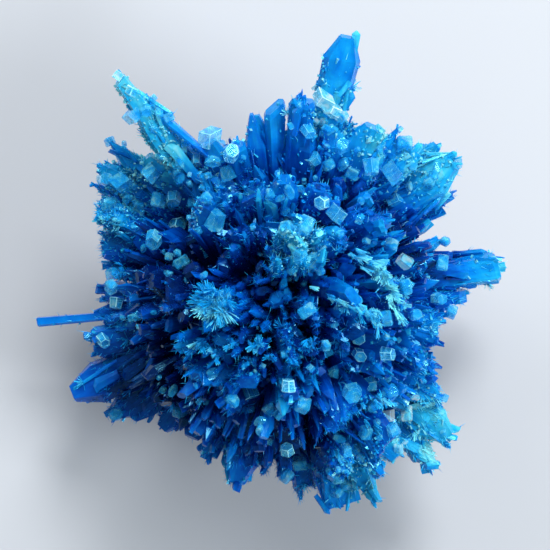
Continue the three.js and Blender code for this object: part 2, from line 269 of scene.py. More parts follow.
@dataclass(frozen=True)
class BlueCrystal:
    """The glassy blue of the blades, with painted light: painted shade makes it navy in the recesses near the
    heart, and it grows azure along the blades and pale far out, a painted glow through the thin outer parts.
    """

    name: str
    lift: float = 0.0
    roughness: float = 0.15
    transmission: float = 0.5
    ior: float = 1.55
    specular_tint: Colour = (0.2, 0.8, 1.0)
    base: float = 0.1
    # How strongly the painted depth light works, and the distances from the heart, in millimetres, over which
    # it goes from painted shade to painted glow.
    painted_depth_light_weight: float = 0.46
    nearest: float = 4.5
    farthest: float = 8.0
    tone_weight: float = 0.3
    contrast: float = 0.86
    streaks: Noise = Noise(42.0, 3.0, 0.4)
    bands: Noise = Noise(7.0, 2.0, 0.5)
    grain: Noise = Noise(2600.0, 3.0, 0.3)
    grain_roughness: float = 0.4
    streak_share: float = 0.75
    bump_strength: float = 0.6
    bump_height: float = 0.03
    stops: Stops = (
        (0.0, (0.0004, 0.014, 0.14)),
        (0.17, (0.0004, 0.045, 0.36)),
        (0.33, (0.0006, 0.12, 0.67)),
        (0.5, (0.001, 0.26, 0.86)),
        (0.65, (0.005, 0.42, 0.95)),
        (0.76, (0.025, 0.6, 0.98)),
        (0.86, (0.1, 0.78, 1.0)),
        # The palest stop, near white, is reached by the frosting's highest tones and the small bright
        # patches: painted glints and highlights.
        (1.0, (0.34, 0.94, 1.0)),
    )
    # Paler and darker patches of the blue: some are its own tone, which differs from place to place, and some
    # are painted light and shade, marked below.
    patches: tuple[ToneAndPaintedLightPatch, ...] = (
        ToneAndPaintedLightPatch(0.9, 1.2, 12.3, 2.2, 0.4),
        ToneAndPaintedLightPatch(-2.2, -1.2, 10.6, 1.2, 0.2),
        ToneAndPaintedLightPatch(4.6, -0.4, 9.2, 2.4, 0.34),
        ToneAndPaintedLightPatch(6.4, -2.0, 6.6, 2.2, 0.26),
        ToneAndPaintedLightPatch(2.8, -0.4, 10.8, 1.6, 0.2),
        ToneAndPaintedLightPatch(-5.6, 7.4, 8.8, 2.0, 0.5),
        ToneAndPaintedLightPatch(-4.2, 5.5, 7.9, 1.8, 0.42),
        ToneAndPaintedLightPatch(3.0, 9.0, 9.2, 2.0, 0.16),
        ToneAndPaintedLightPatch(2.4, 6.8, 8.4, 1.4, 0.3),
        ToneAndPaintedLightPatch(6.6, 4.2, 6.2, 2.4, 0.36),
        ToneAndPaintedLightPatch(9.0, 0.2, 4.0, 1.6, 0.26),
        ToneAndPaintedLightPatch(6.2, -5.4, 4.9, 2.8, 0.4),
        ToneAndPaintedLightPatch(4.6, -3.4, 7.8, 2.2, 0.24),
        ToneAndPaintedLightPatch(3.6, -7.4, 5.6, 2.2, 0.3),
        ToneAndPaintedLightPatch(-5.8, 3.9, 6.8, 2.4, 0.26),
        # Painted light: this patch lifts a gap between blades that lies in shade.
        ToneAndPaintedLightPatch(-3.7, 2.8, 8.4, 2.4, 0.34),
        ToneAndPaintedLightPatch(-2.0, 4.6, 9.0, 2.0, 0.16),
        ToneAndPaintedLightPatch(-7.6, -4.4, 3.6, 1.6, 0.04),
        ToneAndPaintedLightPatch(-2.6, -3.2, 9.6, 1.4, 0.14),
        # Painted shade: darker on the lower left, where less light falls.
        ToneAndPaintedLightPatch(-4.2, -4.0, 6.4, 2.8, -0.5),
        ToneAndPaintedLightPatch(-3.9, -0.3, 8.4, 2.4, -0.5),
        ToneAndPaintedLightPatch(-1.5, -7.5, 4.4, 1.5, 0.36),
        # Painted shade on the lower left as well.
        ToneAndPaintedLightPatch(-6.0, -4.9, 4.2, 2.3, -0.45),
        ToneAndPaintedLightPatch(0.8, -6.6, 6.4, 2.4, -0.34),
        ToneAndPaintedLightPatch(1.6, -2.2, 11.0, 1.8, -0.1),
        ToneAndPaintedLightPatch(4.2, 5.0, 8.4, 1.8, 0.34),
        ToneAndPaintedLightPatch(-0.2, 5.8, 8.8, 2.2, 0.16),
        # Painted highlights: four small bright spots where crystals catch the light.
        ToneAndPaintedLightPatch(6.2, -4.0, 4.8, 0.7, 0.7),
        ToneAndPaintedLightPatch(6.6, -7.2, 4.6, 0.6, 0.8),
        ToneAndPaintedLightPatch(6.6, 1.0, 6.2, 0.7, 0.6),
        ToneAndPaintedLightPatch(4.9, -6.4, 5.8, 0.6, 0.6),
    )

    def build(self) -> bpy.types.Material:
        """Returns the material."""
        sheet = Sheet(self.name)
        place = sheet.add("TexCoord", {}, {}, "Object")
        ray = sheet.add("VectorMath", {"operation": "SUBTRACT"}, {0: place, 1: tuple(HEART)})
        reach = sheet.add("VectorMath", {"operation": "LENGTH"}, {0: ray}, "Value")
        heading = sheet.add("VectorMath", {"operation": "NORMALIZE"}, {0: ray})
        # Painted light: the level rises with distance from the heart, so recesses get painted shade and far
        # parts a painted glow.
        out = ((reach / MM - self.nearest) / (self.farthest - self.nearest)).clamped()
        streaks = sheet.noise(heading, self.streaks)
        bands = sheet.noise(heading, self.bands)
        grain = sheet.noise(place, self.grain)
        tone = sheet.add("Attribute", {"attribute_name": "tone"}, {}, "Fac")
        level = out * self.painted_depth_light_weight + self.lift + tone * self.tone_weight + self.base
        level = level + (streaks - 0.5) * self.streaks.weight
        level = level + (bands - 0.5) * self.bands.weight + (grain - 0.5) * self.grain.weight
        level = (sheet.patched(level, place, self.patches) * self.contrast).clamped()
        height = streaks * self.streak_share + grain * (1 - self.streak_share)
        bump = {"Strength": self.bump_strength, "Distance": self.bump_height * MM, "Height": height}
        return sheet.finish(
            {
                "Base Color": sheet.add("ValToRGB", {"stops": self.stops}, {"Fac": level}),
                "Roughness": (self.roughness + (grain - 0.5) * self.grain_roughness).clamped(),
                "IOR": self.ior,
                "Transmission Weight": self.transmission,
                "Specular Tint": (*self.specular_tint, 1.0),
                "Normal": sheet.add("Bump", {}, bump),
            }
        )


@dataclass(frozen=True)
class ClearCrystal:
    """Colourless crystal that takes up the blue under it, with faint veils inside."""

    name: str
    roughness: float = 0.06
    transmission: float = 0.42
    cover: float = 0.58
    ior: float = 1.5
    specular_level: float = 0.3
    specular_tint: Colour = (0.35, 0.86, 1.0)
    veils: Noise = Noise(2400.0, 4.0, 1.0, 1.2)
    veil_roughness: float = 0.3
    bump_strength: float = 0.25
    bump_height: float = 0.01
    stops: Stops = (
        (0.3, (0.005, 0.36, 0.96)),
        (0.5, (0.025, 0.56, 1.0)),
        (0.66, (0.2, 0.84, 1.0)),
        (0.86, (0.8, 1.0, 0.98)),
    )
    milky: tuple[ToneAndPaintedLightPatch, ...] = (
        ToneAndPaintedLightPatch(5.1, -6.0, 5.0, 2.2, 0.4),
        ToneAndPaintedLightPatch(5.3, 0.9, 7.6, 1.3, 0.3),
        ToneAndPaintedLightPatch(-6.2, 8.2, 8.8, 1.4, 0.4),
        ToneAndPaintedLightPatch(2.4, 7.0, 8.6, 1.2, 0.3),
    )

    def build(self) -> bpy.types.Material:
        """Returns the material."""
        sheet = Sheet(self.name)
        place = sheet.add("TexCoord", {}, {}, "Object")
        veil = sheet.noise(place, self.veils)
        level = sheet.patched(veil, place, self.milky).clamped()
        bump = {"Strength": self.bump_strength, "Distance": self.bump_height * MM, "Height": veil}
        return sheet.finish(
            {
                "Base Color": sheet.add("ValToRGB", {"stops": self.stops}, {"Fac": level}),
                "Roughness": (self.roughness + (veil - 0.5) * self.veil_roughness).clamped(),
                "IOR": self.ior,
                "Specular IOR Level": self.specular_level,
                "Specular Tint": (*self.specular_tint, 1.0),
                "Transmission Weight": self.transmission,
                "Alpha": self.cover,
                "Normal": sheet.add("Bump", {}, bump),
            }
        )


@dataclass(frozen=True)
class PaleSurface:
    """The plain pale surface that the specimen lies on."""

    name: str = "pale_surface"
    colour: Colour = (0.47, 0.48, 0.5)
    roughness: float = 0.6

    def build(self) -> bpy.types.Material:
        """Returns the material."""
        return Sheet(self.name).finish({"Base Color": (*self.colour, 1.0), "Roughness": self.roughness})


def clear_selection() -> None:
    """Leaves nothing selected."""
    if bpy.context.object and bpy.context.object.mode != "OBJECT":
        bpy.ops.object.mode_set(mode="OBJECT")
    bpy.ops.object.select_all(action="DESELECT")


def activate(piece: bpy.types.Object) -> None:
    """Makes a piece the only selected object and the active one."""
    clear_selection()
    piece.select_set(True)
    bpy.context.view_layer.objects.active = piece


def select_faces(piece: bpy.types.Object, wanted: Callable[[bmesh.types.BMFace], bool]) -> None:
    """Selects faces in edit mode.

    Args:
        piece: the object being edited.
        wanted: whether a face is selected.
    """
    mesh = bmesh.from_edit_mesh(piece.data)
    for face in mesh.faces:
        face.select_set(wanted(face))
    bmesh.update_edit_mesh(piece.data)


def edit_all(piece: bpy.types.Object, step: Callable[[], object]) -> None:
    """Edits a whole piece.

    Args:
        piece: the object.
        step: the operators to run in edit mode, with everything selected.
    """
    activate(piece)
    bpy.ops.object.mode_set(mode="EDIT")
    bpy.ops.mesh.select_all(action="SELECT")
    step()
    bpy.ops.object.mode_set(mode="OBJECT")


def join_flat_faces(piece: bpy.types.Object, degrees: float) -> None:
    """Joins the faces of a piece that lie in one plane, to within an angle."""
    edit_all(piece, lambda: bpy.ops.mesh.dissolve_limited(angle_limit=math.radians(degrees)))


@dataclass(frozen=True)
class Dress:
    """A piece's materials, in the order of its faces' numbers, and the name of a slot, which nothing reads.
    """

    materials: tuple[bpy.types.Material, ...]
    slot: str = "blue_crystal"


def give(piece: bpy.types.Object, name: str, dress: Dress) -> None:
    """Names a piece, gives it its materials and fixes it to the part.

    Args:
        piece: the finished object.
        name: its name.
        dress: its materials and slot.
    """
    piece.name = name
    piece.data.name = name
    piece.data.materials.clear()
    for material in dress.materials:
        piece.data.materials.append(material)
    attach(piece, "root")
    log.info("%s: %d faces", name, len(piece.data.polygons))


@dataclass(frozen=True)
class Pattern:
    """A small crystal modelled once, as arrays ready to be copied."""

    points: Array
    triangles: Array
    marks: Array

    @classmethod
    def take(cls, piece: bpy.types.Object) -> "Pattern":
        """Reads a modelled object and removes it.

        Extruding makes the sides in another order in each run, so the triangles are put in order.

        Args:
            piece: the object, at the origin.

        Returns:
            Its points, its triangles and each triangle's material number.
        """
        edit_all(piece, bpy.ops.mesh.quads_convert_to_tris)
        edit_all(piece, bpy.ops.mesh.normals_make_consistent)
        mesh = piece.data
        points = np.empty(len(mesh.vertices) * 3)
        mesh.vertices.foreach_get("co", points)
        triangles = np.empty(len(mesh.polygons) * 3, dtype=np.int32)
        mesh.polygons.foreach_get("vertices", triangles)
        marks = np.empty(len(mesh.polygons), dtype=np.int32)
        mesh.polygons.foreach_get("material_index", marks)
        bpy.data.objects.remove(piece)
        triangles = triangles.reshape(-1, 3)
        turns = triangles.argmin(axis=1)[:, None] + np.arange(3)
        triangles = np.take_along_axis(triangles, turns % 3, axis=1)
        order = np.lexsort(triangles.T)
        return cls(points.reshape(-1, 3), triangles[order], marks[order])


@dataclass(frozen=True)
class BladePattern:
    """A small lath or needle of unit size, from z = 0 at its root to z = 1 at its tip."""

    end: BladeEnd
    sides: int = 6
    shoulder: float = 0.84
    root_share: float = 0.7

    def model(self) -> Pattern:
        """Returns the lath, modelled as by hand."""
        clear_selection()
        bpy.ops.mesh.primitive_cylinder_add(
            vertices=self.sides, radius=0.5, depth=self.shoulder, location=(0, 0, self.shoulder / 2)
        )
        lath = bpy.context.object
        bpy.ops.object.transform_apply(location=True)
        bpy.ops.object.mode_set(mode="EDIT")
        bpy.ops.mesh.select_all(action="DESELECT")
        select_faces(lath, lambda face: face.normal.z > LEVEL)
        self.shape_tip()
        bpy.ops.mesh.select_all(action="DESELECT")
        select_faces(lath, lambda face: face.normal.z < -LEVEL)
        bpy.ops.transform.resize(value=(self.root_share, self.root_share, 1.0), center_override=(0, 0, 0))
        bpy.ops.object.mode_set(mode="OBJECT")
        return Pattern.take(lath)

    def shape_tip(self) -> None:
        """Extrudes the shoulder, which is selected, to the tip and shapes it there."""
        rise = 1.0 - self.shoulder
        scale, shift, drop = self.end.value
        bpy.ops.mesh.extrude_region_move(TRANSFORM_OT_translate={"value": (0, 0, rise)})
        if drop:
            bpy.ops.transform.translate(value=(0, 0, -rise * drop))
        bpy.ops.transform.resize(value=scale, center_override=(0, 0, 1))
        if shift:
            bpy.ops.transform.translate(value=(shift, 0, 0))


@dataclass(frozen=True)
class NeedlePattern:
    """A tiny needle of unit size, three-sided and pointed."""

    sides: int = 3

    def model(self) -> Pattern:
        """Returns the needle, with its root at z = 0 and its tip at z = 1."""
        clear_selection()
        bpy.ops.mesh.primitive_cone_add(
            vertices=self.sides, radius1=0.5, radius2=0.0, depth=1.0, location=(0, 0, 0.5)
        )
        bpy.ops.object.transform_apply(location=True)
        return Pattern.take(bpy.context.object)


@dataclass(frozen=True)
class ClearPattern:
    """A small clear crystal of about unit size, centred on the origin."""

    form: ClearForm
    materials: tuple[bpy.types.Material, ...]
    block_side: float = 0.9
    depth: float = 0.6
    bevel: float = 0.1

    def model(self) -> Pattern:
        """Returns the crystal, modelled as by hand, with its bevels in the second material, which paints
        highlights on them.
        """
        clear_selection()
        sides, squash = self.form.value
        if sides:
            bpy.ops.mesh.primitive_cylinder_add(vertices=sides, radius=0.5, depth=self.depth)
        else:
            bpy.ops.mesh.primitive_cube_add(size=self.block_side)
        crystal = bpy.context.object
        for material in self.materials:
            crystal.data.materials.append(material)
        edit_all(crystal, lambda: bpy.ops.transform.resize(value=squash, center_override=(0, 0, 0)))
        edit_all(
            crystal, lambda: bpy.ops.mesh.bevel(offset=self.bevel, segments=1, affect="EDGES", material=1)
        )
        return Pattern.take(crystal)


@dataclass
class Copies:
    """Where the copies of the patterns go: a frame, a size, a place and a tone for each."""

    across: Array
    through: Array
    along: Array
    size: Array
    place: Array
    tone: Array

    def __len__(self) -> int:
        """Returns how many copies there are."""
        return len(self.place)

    def place_points(self, pattern: Pattern, chosen: Array) -> Array:
        """Places a pattern's points.

        Args:
            pattern: the crystal to copy.
            chosen: the numbers of the copies.

        Returns:
            The points in each chosen copy, as copies by points by 3.
        """
        local = pattern.points[None, :, :] * self.size[chosen][:, None, :]
        frames = np.stack([self.across[chosen], self.through[chosen], self.along[chosen]], axis=1)
        return np.einsum("npk,nkj->npj", local, frames) + self.place[chosen][:, None, :]


@dataclass
class Shields:
    """The room that small crystals may fill, which spares each larger clear crystal and what is above it."""

    prefix: str = CLEAR_PREFIX
    room: float = 0.85
    clearing: float = 1.5

    def __post_init__(self) -> None:
        """Measures each packed clear crystal: its middle, and how much room it keeps."""
        boxes = [box_corners(node) for name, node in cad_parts.items() if name.startswith(self.prefix)]
        self.middle = np.array([box.mean(axis=0) for box in boxes])
        self.radius = np.array([np.ptp(box, axis=0).mean() for box in boxes]) / 2 * self.room

    def spared_by(self, placed: Array) -> Array:
        """Finds which copies stay above the cut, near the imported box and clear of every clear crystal.

        Args:
            placed: the copies, as copies by points by 3.

        Returns:
            True for each copy that does.
        """
        low, high = placed.min(axis=1), placed.max(axis=1)
        box_low, box_high = (np.array(corner) for corner in CAD_BOX)
        free = (low > box_low - OVERHANG).all(axis=1) & (high < box_high + OVERHANG).all(axis=1)
        free &= low[:, 2] > FLOOR_CLEARANCE
        for middle, radius in zip(self.middle, self.radius):
            gap = placed - middle
            level = np.hypot(gap[:, :, 0], gap[:, :, 1])
            inside = (level < radius) & (np.abs(gap[:, :, 2]) < radius)
            over = (level < radius * self.clearing) & (gap[:, :, 2] > 0)
            free &= ~(inside | over).any(axis=1)
        return free


def box_corners(node: bpy.types.Object) -> Array:
    """Returns the corners of a node's box, in the part's frame."""
    return np.array([node.matrix_world @ Vector(corner) for corner in node.bound_box])


@dataclass(kw_only=True)
class Growth:
    """Many copies of a few small crystals, joined in one piece."""

    name: str
    dress: Dress
    painted_tip_glow: float = 0.0

    def patterns(self) -> list[Pattern]:
        """Returns the crystals to copy, one of them picked for each place: laths with every kind of end."""
        return [BladePattern(end).model() for end in BladeEnd]

    def copies(self) -> Copies:
        """Returns where the copies go."""
        raise NotImplementedError

    def build(self, shields: Shields) -> None:
        """Makes one piece of all the copies that fit, with a tone attribute that grows paler to their tips: a
        painted glow of light through the thin tips.

        Args:
            shields: what the copies must leave free.
        """
        copies, patterns = self.copies(), self.patterns()
        choice = CHANCE.integers(0, len(patterns), len(copies))
        points, triangles, tones, marks = [], [], [], []
        offset = 0
        for index, pattern in enumerate(patterns):
            chosen = np.flatnonzero(choice == index)
            placed = copies.place_points(pattern, chosen)
            fitting = shields.spared_by(placed)
            placed, chosen = placed[fitting], chosen[fitting]
            count = len(pattern.points)
            starts = offset + np.arange(len(chosen)) * count
            triangles.append((pattern.triangles[None, :, :] + starts[:, None, None]).reshape(-1, 3))
            points.append(placed.reshape(-1, 3))
            # Painted light: each copy grows paler towards its tip, a painted glow through the thin tip.
            height = (pattern.points[:, 2] - 0.5) * self.painted_tip_glow
            tones.append((copies.tone[chosen][:, None] + height[None, :]).ravel())
            marks.append(np.tile(pattern.marks, len(chosen)))
            offset += len(chosen) * count
        mesh = bpy.data.meshes.new(self.name)
        mesh.from_pydata(np.concatenate(points), [], np.concatenate(triangles))
        mesh.polygons.foreach_set("material_index", np.concatenate(marks))
        attribute = mesh.attributes.new("tone", "FLOAT", "POINT")
        attribute.data.foreach_set("value", np.concatenate(tones).astype(np.float32))
        piece = bpy.data.objects.new(self.name, mesh)
        bpy.context.collection.objects.link(piece)
        give(piece, self.name, self.dress)


def unit(vectors: Array) -> Array:
    """Returns vectors of length 1."""
    return vectors / np.maximum(np.linalg.norm(vectors, axis=1, keepdims=True), TINY)


def scattered(headings: Array, degrees: float) -> Array:
    """Tilts headings at random.

    Args:
        headings: unit vectors.
        degrees: the usual tilt.

    Returns:
        Unit vectors near the headings.
    """
    return unit(headings + CHANCE.normal(0, math.tan(math.radians(degrees)), headings.shape))


def frames_along(headings: Array, normals: Array) -> tuple[Array, Array]:
    """Finds the other two axes of frames whose third axis is given.

    Args:
        headings: the third axes.
        normals: which way the second axes lean.

    Returns:
        The first and second axes.
    """
    through = normals - headings * np.sum(normals * headings, axis=1, keepdims=True)
    weak = np.linalg.norm(through, axis=1) < WEAK
    through[weak] = np.cross(headings, SPARE_AXIS)[weak]
    through = unit(through)
    return np.cross(through, headings), through


def turned_frames(headings: Array) -> tuple[Array, Array]:
    """Finds the other two axes of frames that are turned at random about their third axis."""
    return frames_along(headings, unit(CHANCE.normal(size=headings.shape)))


@dataclass(frozen=True)
class Spread:
    """A range of sizes or shares; a lean above 1 makes small ones more common."""

    low: float
    high: float
    lean: float = 1.0

    def draw(self, count: int) -> Array:
        """Draws values at random."""
        return self.low + (self.high - self.low) * CHANCE.random(count) ** self.lean


@dataclass(frozen=True)
class Tones:
    """How pale the copies are: their usual tone, how much they differ and the limits."""

    usual: float
    spread: float
    low: float
    high: float

    def draw(self, count: int, extra: Array | float = 0.0) -> Array:
        """Draws tones at random, with something extra for each."""
        return (CHANCE.normal(self.usual, self.spread, count) + extra).clip(self.low, self.high)


@dataclass(frozen=True)
class Habit:
    """How the blades of one kind differ, with widths and lengths in millimetres and thickness as a share."""

    width: Spread
    length: Spread
    thickness: Spread
    tones: Tones
    scatter: float

    def sizes(self, count: int) -> Array:
        """Draws the width, thickness and length of each blade, in metres."""
        width = self.width.draw(count) * MM
        length = self.length.draw(count) * MM
        return np.stack([width, width * self.thickness.draw(count), length], axis=1)


class Surface:
    """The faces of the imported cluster, from which places are drawn."""

    def __init__(self, node: bpy.types.Object) -> None:
        """Reads the node's triangles."""
        mesh = node.data
        mesh.calc_loop_triangles()
        points = np.empty(len(mesh.vertices) * 3)
        mesh.vertices.foreach_get("co", points)
        corners = np.empty(len(mesh.loop_triangles) * 3, dtype=np.int32)
        mesh.loop_triangles.foreach_get("vertices", corners)
        world = np.array(node.matrix_world)
        points = points.reshape(-1, 3) @ world[:3, :3].T + world[:3, 3]
        self.corners = points[corners.reshape(-1, 3)]
        sides = np.cross(self.corners[:, 1] - self.corners[:, 0], self.corners[:, 2] - self.corners[:, 0])
        self.area = np.linalg.norm(sides, axis=1) / 2
        self.normal = unit(sides)
        self.tree = BVHTree.FromPolygons(points.tolist(), corners.reshape(-1, 3).tolist())

    def seat(self, x: float, y: float) -> tuple[Array, Array]:
        """Finds where the camera's line of sight through a place meets the surface.

        Args:
            x: how far right the place is, in millimetres.
            y: how far up the photo it is, in millimetres.

        Returns:
            The spot and the normal there, or those of the nearest spot if the line misses.
        """
        sight = np.array([x * MM, y * MM, EYE_LEVEL]) - EYE
        spot, normal = self.tree.ray_cast(Vector(EYE), Vector(sight))[:2]
        if spot is None:
            spot, normal = self.tree.find_nearest(Vector((x * MM, y * MM, EYE_LEVEL)))[:2]
        return np.array(spot), np.array(normal)

    def perch(self, x: float, y: float, radius: float) -> Array:
        """Finds the place above a spot that is level with the highest blades around it.

        The small blades between the large ones reach out as far as PERCH_REACH, so it is no deeper than that.

        Args:
            x: how far right the spot is, in millimetres.
            y: how far up the photo it is, in millimetres.
            radius: how far around to look, in millimetres.

        Returns:
            The place.
        """
        turns = np.radians(np.arange(0, 360, 45))
        around = [(x + radius * math.cos(turn), y + radius * math.sin(turn)) for turn in turns]
        heights = [self.seat(*place)[0][2] for place in [(x, y), *around]]
        level = math.hypot(x * MM - HEART[0], y * MM - HEART[1])
        ball = HEART[2] + math.sqrt(max(PERCH_REACH**2 - level**2, 0.0))
        height = max(sorted(heights)[-2], ball)
        sight = np.array([x * MM, y * MM, EYE_LEVEL]) - EYE
        return EYE + sight * (EYE[2] - height) / (EYE[2] - EYE_LEVEL)

    def draw(self, count: int, weight: Weight) -> tuple[Array, Array]:
        """Draws places at random.

        Args:
            count: how many.
            weight: how likely each triangle is for its area, from its middles and normals.

        Returns:
            The places and the normals there.
        """
        chance = self.area * weight(self.corners.mean(axis=1), self.normal)
        faces = CHANCE.choice(len(chance), size=count, p=chance / chance.sum())
        first, second = CHANCE.random((2, count))
        over = first + second > 1
        first[over], second[over] = 1 - first[over], 1 - second[over]
        base = self.corners[faces]
        sides = base[:, 1:] - base[:, :1]
        return base[:, 0] + first[:, None] * sides[:, 0] + second[:, None] * sides[:, 1], self.normal[faces]


def off_the_cut(middle: Array, normal: Array) -> Array:
    """Returns 1 for faces away from the flat cut, 0 for the cut itself."""
    return ((normal[:, 2] > CUT_NORMAL) | (middle[:, 2] > CUT_DEPTH)).astype(float)


def from_heart(middle: Array) -> Array:
    """Returns how far places are from the heart."""
    return np.linalg.norm(middle - HEART, axis=1)


@dataclass
class Leanings:
    """Which way and how pale the blades of each bundle grow, so that neighbours are alike."""

    surface: Surface
    bundles: int = 240
    lean: float = 0.22
    spread: float = 0.42

    def __post_init__(self) -> None:
        """Chooses each bundle's outward direction, its sideways lean as a share of that, and its tone."""
        centres = self.surface.draw(self.bundles, off_the_cut)[0]
        self.outward = unit(centres - HEART)
        self.leans = CHANCE.normal(0, self.lean, (self.bundles, 3))
        self.tones = CHANCE.normal(0, self.spread, self.bundles)

    def nearest(self, outward: Array) -> Array:
        """Returns the number of the bundle nearest to each direction."""
        return np.argmax(outward @ self.outward.T, axis=1)

    def headings(self, outward: Array, degrees: float) -> Array:
        """Returns the headings of blades that grow in these directions from the heart."""
        return scattered(unit(outward + self.leans[self.nearest(outward)]), degrees)

    def tone(self, outward: Array) -> Array:
        """Returns how much paler each blade's bundle is than most."""
        return self.tones[self.nearest(outward)]


@dataclass(frozen=True)
class Spot:
    """A round part of the surface, as seen from above, in millimetres, and how much grows there."""

    x: float
    y: float
    radius: float
    amount: float

    def gap(self, middle: Array) -> Array:
        """Returns how far places are from the spot, as seen from above and as a share of its radius."""
        return np.hypot(middle[:, 0] - self.x * MM, middle[:, 1] - self.y * MM) / (self.radius * MM)


SMOOTH_SPOTS = (
    Spot(-0.2, 5.6, 1.7, 0.3),
    Spot(1.0, 3.6, 1.2, 0.4),
    Spot(2.9, 8.2, 1.4, 0.2),
    Spot(2.7, -0.4, 1.3, 0.1),
    Spot(0.6, -5.6, 1.4, 0.5),
    Spot(-8.8, -1.6, 1.6, 0.02),
    Spot(-3.8, 0.4, 1.5, 0.35),
    Spot(-7.6, -4.4, 1.3, 0.2),
)


def coverage(middle: Array, normal: Array) -> Array:
    """Finds how much of the fine growth each face bears: none on the cut and little on the smooth spots.

    Args:
        middle: the middles of the faces.
        normal: their normals.

    Returns:
        The shares.
    """
    share = np.ones(len(middle))
    for spot in SMOOTH_SPOTS:
        near = (spot.gap(middle) < 1) & (middle[:, 2] > HEART[2] - SMOOTH_DEPTH)
        share[near] = spot.amount
    return share * off_the_cut(middle, normal)


def spotted(middle: Array, spots: tuple[Spot, ...]) -> Array:
    """Returns how thick the growth of some spots is on the outer, upper faces with these middles."""
    outer = (from_heart(middle) > SPOT_REACH) & (middle[:, 2] > HEART[2])
    return sum(spot.amount * np.exp(-(spot.gap(middle) ** 4)) for spot in spots) * outer


@dataclass(kw_only=True)
class Blades(Growth):
    """Blades that lean and are toned like the bundle that they grow in."""

    leanings: Leanings
    count: int
    habit: Habit
    root: float = 0.0

    def feet(self) -> tuple[Array, Array, Array]:
        """Returns where the blades grow, which way is outward there and the normals."""
        raise NotImplementedError

    def frames(self, headings: Array, normals: Array) -> tuple[Array, Array]:
        """Returns the blades' other two axes, turned at random whatever the normals."""
        return turned_frames(headings)

    def roots(self, feet: Array, headings: Array, through: Array, size: Array) -> Array:
        """Returns where the blades' roots are."""
        return feet

    def copies(self) -> Copies:
        """Returns where the blades go, with lengths that count from the root's distance from the heart."""
        feet, outward, normals = self.feet()
        headings = self.leanings.headings(outward, self.habit.scatter)
        across, through = self.frames(headings, normals)
        size = self.habit.sizes(self.count)
        size[:, 2] -= self.root * MM
        roots = self.roots(feet, headings, through, size)
        tone = self.habit.tones.draw(self.count, self.leanings.tone(outward))
        return Copies(across, through, headings, size, roots, tone)


@dataclass(kw_only=True)
class GapBlades(Blades):
    """Blades of middle size that grow from the heart and fill the gaps between the large ones."""

    name: str = "gap_blades"
    painted_tip_glow: float = 0.45
    count: int = 2000
    habit: Habit = Habit(
        Spread(0.2, 0.95, 1.8), Spread(5.4, 7.1), Spread(0.4, 0.8), Tones(-0.05, 0.2, -0.9, 1.0), scatter=8
    )
    root: float = 3.8
    upward: float = 0.5

    def feet(self) -> tuple[Array, Array, Array]:
        """Returns places on a ball round the heart, more of them on top, and twice the way outward there."""
        outward = unit(CHANCE.normal(size=(self.count, 3)) + np.array([0, 0, self.upward]))
        return HEART + outward * self.root * MM, outward, outward


@dataclass(kw_only=True)
class FineLaths(Blades):
    """Laths that lie along the sides of the large blades."""

    surface: Surface
    name: str = "fine_laths"
    painted_tip_glow: float = 0.45
    count: int = 2700
    habit: Habit = Habit(
        Spread(0.12, 0.74, 1.7), Spread(0.8, 2.8), Spread(0.3, 0.6), Tones(0.1, 0.22, -0.9, 1.2), scatter=6
    )
    rise: Spread = Spread(0.0, 0.3)
    lift: float = 0.1
    roll: float = 12.0
    reserve: float = 1.05

    def likely(self, middle: Array, normal: Array) -> Array:
        """Returns how likely a lath is on each face: likelier the more the face lies along the growth."""
        facing = np.abs(np.sum(normal * unit(middle - HEART), axis=1))
        return coverage(middle, normal) * (self.reserve - facing)

    def feet(self) -> tuple[Array, Array, Array]:
        """Returns places on the surface, which way is outward there and the normals."""
        places, normals = self.surface.draw(self.count, self.likely)
        return places, unit(places - HEART), normals

    def frames(self, headings: Array, normals: Array) -> tuple[Array, Array]:
        """Returns the other two axes of laths that lie nearly flat on the surface."""
        return frames_along(headings, scattered(normals, self.roll))

    def roots(self, feet: Array, headings: Array, through: Array, size: Array) -> Array:
        """Returns roots that leave each tip a little beyond its foot and each lath a little lifted."""
        beyond = self.rise.draw(self.count) * MM
        return feet + headings * (beyond - size[:, 2])[:, None] + through * (size[:, 1] * self.lift)[:, None]


@dataclass(kw_only=True)
class FinePoints(FineLaths):
    """Points that stand on the ends of the large blades and break them up."""

    name: str = "fine_points"
    painted_tip_glow: float = 0.6
    count: int = 3300
    habit: Habit = Habit(
        Spread(0.08, 0.5, 1.7), Spread(0.6, 1.3), Spread(0.4, 0.9), Tones(0.15, 0.26, -0.9, 1.3), scatter=11
    )
    rise: Spread = Spread(0.04, 0.5)
    lift: float = 0.0
    reserve: float = 0.02

    def likely(self, middle: Array, normal: Array) -> Array:
        """Returns how likely a point is on each face: likelier the more the face looks outwards."""
        facing = np.sum(normal * unit(middle - HEART), axis=1)
        return coverage(middle, normal) * (facing.clip(0, 1) ** 2 + self.reserve)

    def frames(self, headings: Array, normals: Array) -> tuple[Array, Array]:
        """Returns the other two axes, turned at random."""
        return turned_frames(headings)

    def patterns(self) -> list[Pattern]:
        """Returns the crystals to copy, with four sides and with six."""
        return [BladePattern(end, sides=sides).model() for end in BladeEnd for sides in (4, 6)]


@dataclass
class Clumps:
    """Where tiny crystals grow: thick in clumps drawn at random and on some spots, thinly elsewhere."""

    surface: Surface
    spots: tuple[Spot, ...]
    count: int
    radius: float
    share: float
    thin: float
    reach: float = 0.0

    def __post_init__(self) -> None:
        """Draws the middles of the clumps."""
        self.centres = self.surface.draw(self.count, off_the_cut)[0]

    def weight(self, middle: Array, normal: Array) -> Array:
        """Finds how likely a tiny crystal is on each face.

        Args:
            middle: the middles of the faces.
            normal: their normals.

        Returns:
            The chances for their area.
        """
        gap = np.full(len(middle), np.inf)
        for centre in self.centres:
            gap = np.minimum(gap, np.linalg.norm(middle - centre, axis=1))
        clumped = np.exp(-((gap / (self.radius * MM)) ** 2)) * self.share + self.thin
        outer = from_heart(middle) > self.reach * MM
        return coverage(middle, normal) * (clumped + spotted(middle, self.spots)) * outer


